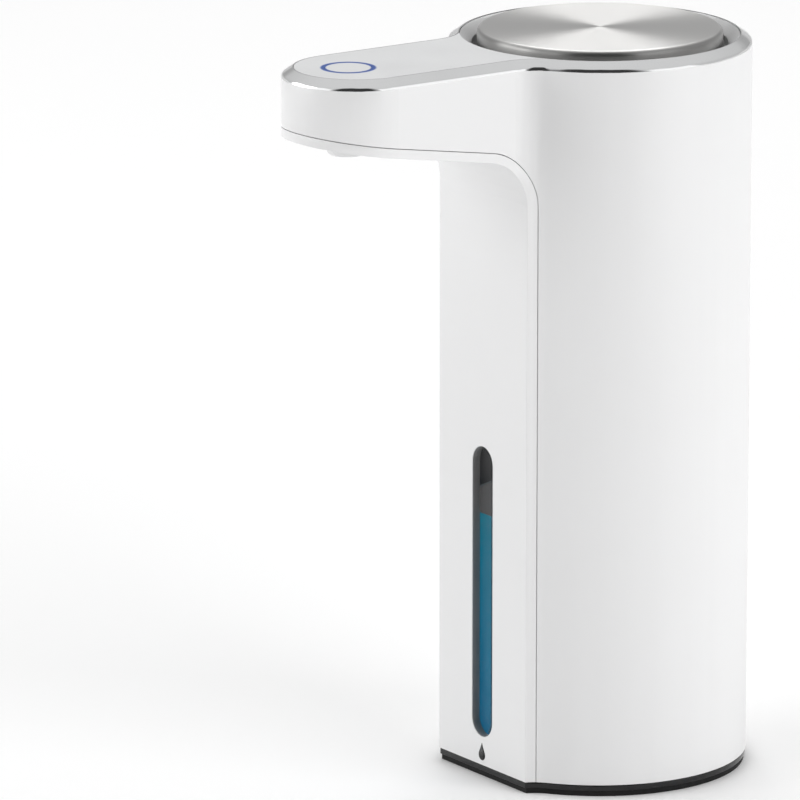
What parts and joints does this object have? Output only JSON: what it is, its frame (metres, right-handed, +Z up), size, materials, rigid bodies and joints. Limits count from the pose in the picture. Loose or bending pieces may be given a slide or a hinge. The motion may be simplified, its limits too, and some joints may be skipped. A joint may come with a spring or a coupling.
{
  "type": "automatic soap dispenser",
  "caption": "Touch-free soap dispenser: round column with a forward spout, chrome rim, steel fill lid, level window and light ring.",
  "frame": {"origin": "the column's axis at the surface that the dispenser stands on", "axes": "+Z up along the column; the spout points along -Y; +X is to the right seen from the front"},
  "size_m": [0.081, 0.1381, 0.201],
  "materials": {
    "white_gloss": "glossy",
    "deck_grey": "satin",
    "chrome": "polished",
    "brushed_steel": "turned, brushed in rings",
    "satin_metal": "satin",
    "soap": "liquid",
    "black_gloss": "glossy",
    "black_rubber": "matte",
    "smoked_clear": "clear, smoked",
    "natural_plastic": "satin",
    "dark_plastic": "satin",
    "white_silicone": "soft matte",
    "grey_rubber": "matte",
    "zinc_steel": "plated",
    "board_green": "solder mask",
    "battery_wrap": "shrink sleeve",
    "ring_light": "translucent, lit"
  },
  "bodies": {
    "housing": {"outer_shell": "white_gloss", "front_cover": "white_gloss", "window_lens": "smoked_clear", "top_deck": "deck_grey", "chrome_trim": "chrome", "base_plate": "black_gloss", "foot_pad": "black_rubber", "base_screws": "zinc_steel", "fill_collar": "satin_metal", "fill_funnel": "natural_plastic", "funnel_seal": "white_silicone", "tank": "smoked_clear", "tank_gasket": "white_silicone", "tank_cover": "natural_plastic", "dip_tube": "natural_plastic", "dip_strainer": "natural_plastic", "chassis": "natural_plastic", "chassis_screws": "zinc_steel", "pump_housing": "dark_plastic", "pump_cover": "smoked_clear", "pump_screws": "zinc_steel", "pump_tube": "white_silicone", "pump_gearbox": "dark_plastic", "pump_motor": "zinc_steel", "outlet_tube": "white_silicone", "nozzle": "white_gloss", "nozzle_valve": "white_silicone", "sensor_window": "smoked_clear", "ir_leds": "smoked_clear", "sensor_board": "board_green", "light_ring": "ring_light", "ring_leds": "natural_plastic", "tact_switch": "dark_plastic", "button_board": "board_green", "board_screws": "zinc_steel", "battery": "battery_wrap", "battery_cradle": "dark_plastic", "battery_contacts": "zinc_steel", "main_board": "board_green", "board_components": "dark_plastic", "usb_port": "zinc_steel", "usb_board": "board_green"},
    "lid": {"lid_disc": "brushed_steel", "lid_carrier": "natural_plastic", "lid_seal": "white_silicone"},
    "power_button": {"power_button": "deck_grey"},
    "pump_rotor": {"pump_rotor": "natural_plastic", "roller_pins": "zinc_steel", "drive_shaft": "zinc_steel"},
    "roller_1": {"roller_1": "natural_plastic"},
    "roller_2": {"roller_2": "natural_plastic"},
    "roller_3": {"roller_3": "natural_plastic"},
    "port_plug": {"port_plug": "grey_rubber"},
    "wall_bracket": {"wall_bracket": "white_gloss"}
  },
  "joints": [
    {"name": "lid_lift", "type": "slide", "parent": "housing", "child": "lid", "axis": [0, 0, 1], "range_m": [0, 0.03]},
    {"name": "button_press", "type": "slide", "parent": "housing", "child": "power_button", "axis": [0, 0, -1], "range_m": [0, 0.0006], "stiffness_N_per_m": 900, "springref_m": -0.0006},
    {"name": "pump_spin", "type": "hinge", "parent": "housing", "child": "pump_rotor", "pos_m": [0, -0.019, 0.12], "axis": [0, 0, 1], "continuous": true},
    {"name": "roller_1_spin", "type": "hinge", "parent": "pump_rotor", "child": "roller_1", "pos_m": [0, -0.0134, 0.12], "axis": [0, 0, 1], "continuous": true},
    {"name": "roller_2_spin", "type": "hinge", "parent": "pump_rotor", "child": "roller_2", "pos_m": [-0.00485, -0.0218, 0.12], "axis": [0, 0, 1], "continuous": true},
    {"name": "roller_3_spin", "type": "hinge", "parent": "pump_rotor", "child": "roller_3", "pos_m": [0.00485, -0.0218, 0.12], "axis": [0, 0, 1], "continuous": true},
    {"name": "port_plug_swing", "type": "hinge", "parent": "housing", "child": "port_plug", "pos_m": [0, 0.0403, 0.1726], "axis": [-1, 0, 0], "range_deg": [0, 100]},
    {"name": "bracket_slide", "type": "slide", "parent": "housing", "child": "wall_bracket", "axis": [0, 0, -1], "range_m": [0, 0.014]}
  ],
  "couplings": [
    {"joint": "roller_1_spin", "follows": "pump_spin", "ratio": -3.1852},
    {"joint": "roller_2_spin", "follows": "pump_spin", "ratio": -3.1852},
    {"joint": "roller_3_spin", "follows": "pump_spin", "ratio": -3.1852}
  ]
}
